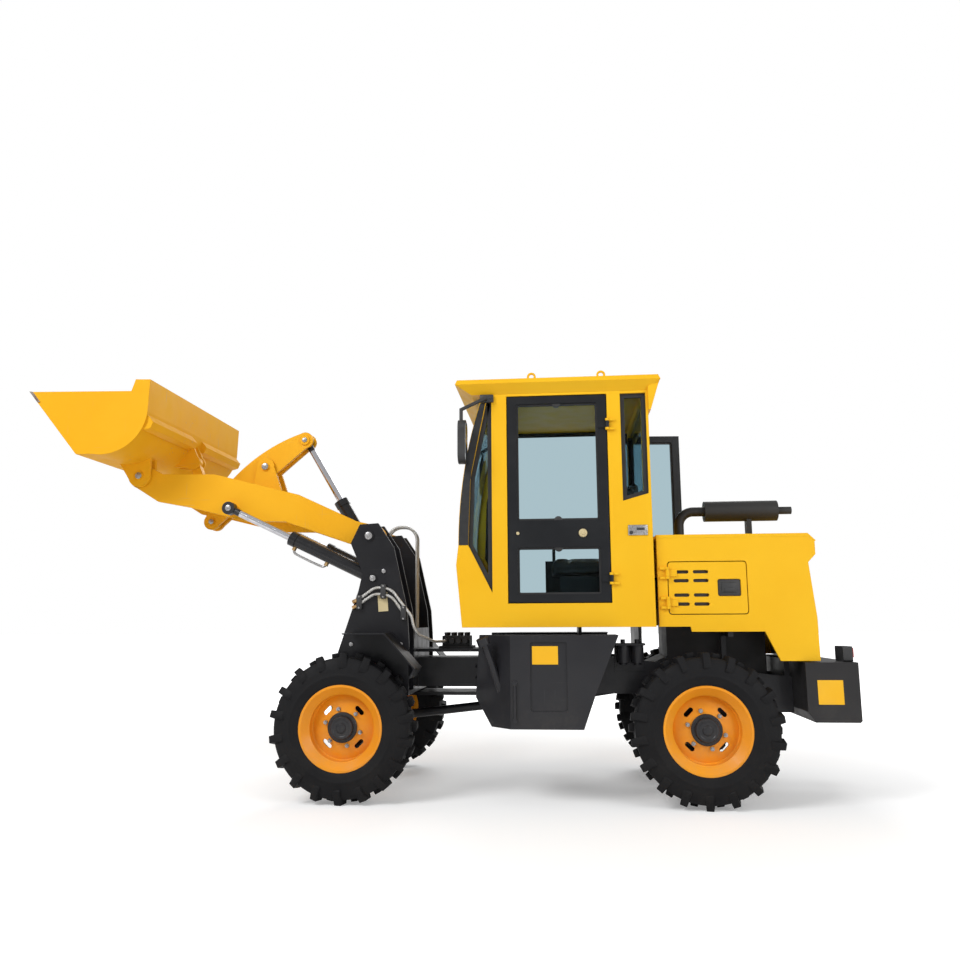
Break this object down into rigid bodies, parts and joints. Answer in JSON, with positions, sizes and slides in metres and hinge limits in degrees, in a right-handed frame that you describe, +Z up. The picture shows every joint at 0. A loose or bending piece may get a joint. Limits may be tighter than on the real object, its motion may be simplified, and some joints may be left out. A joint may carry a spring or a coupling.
{
  "type": "wheel loader",
  "caption": "Compact articulated wheel loader: glazed cab, rear engine hood, lugged tyres and a lift boom whose bell crank rolls a wide bucket.",
  "frame": {"origin": "on the ground, below the middle of the overall length and width", "axes": "+X forward towards the bucket, +Y to the operator's left, +Z up"},
  "size_m": [5.0548, 1.5, 2.5839],
  "materials": {
    "tyre": "worn black rubber",
    "rim_yellow": "gloss amber paint",
    "frame_black": "satin black paint",
    "cast_black": "painted casting",
    "body_yellow": "gloss amber yellow paint",
    "door_black": "satin black paint",
    "floor_grey": "dark grey paint",
    "glass": "clear, slightly green",
    "lamp_red": "moulded lens",
    "seat_black": "black vinyl",
    "wear_steel": "bare wear steel",
    "barrel_black": "satin black paint",
    "rod_chrome": "hard chrome",
    "hose_sleeve": "woven silver sleeve"
  },
  "bodies": {
    "rear": {"rear_axle": "frame_black", "rear_frame": "frame_black", "tank_left": "frame_black", "tank_right": "frame_black", "drive_shaft_rear": "frame_black", "rear_grille": "frame_black", "muffler": "frame_black", "mirrors": "frame_black", "seat_base": "frame_black", "steering_column": "frame_black", "control_levers": "frame_black", "filters": "frame_black", "counterweight": "cast_black", "engine_block": "cast_black", "hood_side_left": "body_yellow", "hood_side_right": "body_yellow", "hood_top": "body_yellow", "cab_side_left": "body_yellow", "cab_side_right": "body_yellow", "cab_front_panel": "body_yellow", "cab_rear_wall": "body_yellow", "cab_roof": "body_yellow", "cab_floor": "floor_grey", "windshield": "glass", "cab_glass": "glass", "tail_lamps": "lamp_red", "seat_cushion": "seat_black", "seat_back": "seat_black"},
    "front": {"front_frame": "frame_black", "front_axle": "frame_black", "front_fenders": "frame_black", "drive_shaft_front": "frame_black", "control_valve": "cast_black", "hoses": "hose_sleeve"},
    "bucket": {"bucket": "body_yellow", "cutting_edge": "wear_steel"},
    "door_left": {"door_left": "door_black", "door_glass_left": "glass"},
    "door_right": {"door_right": "door_black", "door_glass_right": "glass"},
    "wheel_front_left": {"tyre_front_left": "tyre", "rim_front_left": "rim_yellow"},
    "wheel_front_right": {"tyre_front_right": "tyre", "rim_front_right": "rim_yellow"},
    "wheel_rear_left": {"tyre_rear_left": "tyre", "rim_rear_left": "rim_yellow"},
    "wheel_rear_right": {"tyre_rear_right": "tyre", "rim_rear_right": "rim_yellow"},
    "boom": {"boom": "body_yellow"},
    "bell_crank": {"bell_crank": "body_yellow"},
    "bucket_link": {"bucket_link": "body_yellow"},
    "lift_barrels": {"lift_barrels": "barrel_black"},
    "lift_rods": {"lift_rods": "rod_chrome"},
    "tilt_barrel": {"tilt_barrel": "barrel_black"},
    "tilt_rod": {"tilt_rod": "rod_chrome"},
    "steer_barrel_left": {"steer_barrel_left": "barrel_black"},
    "steer_rod_left": {"steer_rod_left": "rod_chrome"},
    "steer_barrel_right": {"steer_barrel_right": "barrel_black"},
    "steer_rod_right": {"steer_rod_right": "rod_chrome"},
    "hood_hatch": {"hood_hatch": "body_yellow"}
  },
  "joints": [
    {"name": "steer", "type": "hinge", "parent": "rear", "child": "front", "pos_m": [-0.59941, 0, 0], "axis": [0, 0, 1], "range_deg": [-35, 35]},
    {"name": "boom_lift", "type": "hinge", "parent": "front", "child": "boom", "pos_m": [0.35059, 0, 1.575], "axis": [0, -1, 0], "range_deg": [-76, 24]},
    {"name": "bucket_tilt", "type": "hinge", "parent": "boom", "child": "bucket", "pos_m": [1.94059, 0, 2.01], "axis": [0, 1, 0], "range_deg": [-26, 108]},
    {"name": "crank_swing", "type": "hinge", "parent": "boom", "child": "bell_crank", "pos_m": [1.19059, 0, 2.113], "axis": [0, 1, 0], "range_deg": [-33.5, 8.5]},
    {"name": "link_swing", "type": "hinge", "parent": "bell_crank", "child": "bucket_link", "pos_m": [1.57059, 0, 1.735], "axis": [0, 1, 0], "range_deg": [-17, 69]},
    {"name": "lift_barrel_swing", "type": "hinge", "parent": "front", "child": "lift_barrels", "pos_m": [0.32059, 0, 1.31], "axis": [0, -1, 0], "range_deg": [-74.5, 24]},
    {"name": "lift_rod_slide", "type": "slide", "parent": "lift_barrels", "child": "lift_rods", "axis": [0.9024, 0, 0.4308], "range_m": [-0.322, 0.106]},
    {"name": "tilt_barrel_swing", "type": "hinge", "parent": "front", "child": "tilt_barrel", "pos_m": [0.45659, 0, 1.515], "axis": [0, -1, 0], "range_deg": [-84, 27]},
    {"name": "tilt_rod_slide", "type": "slide", "parent": "tilt_barrel", "child": "tilt_rod", "axis": [0.5088, 0, 0.8609], "range_m": [-0.195, 0.051]},
    {"name": "steer_barrel_left_swing", "type": "hinge", "parent": "rear", "child": "steer_barrel_left", "pos_m": [-0.90941, 0.235, 0.72], "axis": [0, 0, 1], "range_deg": [-16, 16]},
    {"name": "steer_rod_left_slide", "type": "slide", "parent": "steer_barrel_left", "child": "steer_rod_left", "axis": [0.9994, -0.0357, 0], "range_m": [-0.14, 0.14]},
    {"name": "steer_barrel_right_swing", "type": "hinge", "parent": "rear", "child": "steer_barrel_right", "pos_m": [-0.90941, -0.235, 0.72], "axis": [0, 0, 1], "range_deg": [-16, 16]},
    {"name": "steer_rod_right_slide", "type": "slide", "parent": "steer_barrel_right", "child": "steer_rod_right", "axis": [0.9994, 0.0357, 0], "range_m": [-0.14, 0.14]},
    {"name": "spin_front_left", "type": "hinge", "parent": "front", "child": "wheel_front_left", "pos_m": [0.45059, 0.635, 0.43], "axis": [0, 1, 0], "continuous": true},
    {"name": "spin_front_right", "type": "hinge", "parent": "front", "child": "wheel_front_right", "pos_m": [0.45059, -0.635, 0.43], "axis": [0, 1, 0], "continuous": true},
    {"name": "spin_rear_left", "type": "hinge", "parent": "rear", "child": "wheel_rear_left", "pos_m": [-1.64941, 0.635, 0.43], "axis": [0, 1, 0], "continuous": true},
    {"name": "spin_rear_right", "type": "hinge", "parent": "rear", "child": "wheel_rear_right", "pos_m": [-1.64941, -0.635, 0.43], "axis": [0, 1, 0], "continuous": true},
    {"name": "door_left_swing", "type": "hinge", "parent": "rear", "child": "door_left", "pos_m": [-1.14741, 0.614, 1.77], "axis": [0, 0, 1], "range_deg": [0, 175]},
    {"name": "door_right_swing", "type": "hinge", "parent": "rear", "child": "door_right", "pos_m": [-1.14741, -0.614, 1.77], "axis": [0, 0, -1], "range_deg": [-175, 0]},
    {"name": "hatch_swing", "type": "hinge", "parent": "rear", "child": "hood_hatch", "pos_m": [-1.47941, 0.574, 1.23], "axis": [0, 0, 1], "range_deg": [-90, 0]}
  ],
  "couplings": [
    {"joint": "crank_swing", "follows": "bucket_tilt", "ratio": -0.3039},
    {"joint": "link_swing", "follows": "bucket_tilt", "ratio": 0.6314},
    {"joint": "tilt_rod_slide", "follows": "bucket_tilt", "m_per_rad": -0.1},
    {"joint": "lift_barrel_swing", "follows": "boom_lift", "ratio": 0.9702},
    {"joint": "lift_rod_slide", "follows": "boom_lift", "m_per_rad": 0.2381},
    {"joint": "tilt_barrel_swing", "follows": "boom_lift", "ratio": 1.0968},
    {"joint": "steer_barrel_left_swing", "follows": "steer", "ratio": 0.4338},
    {"joint": "steer_rod_left_slide", "follows": "steer", "m_per_rad": -0.2206},
    {"joint": "steer_barrel_right_swing", "follows": "steer", "ratio": 0.4338},
    {"joint": "steer_rod_right_slide", "follows": "steer", "m_per_rad": 0.2206}
  ]
}
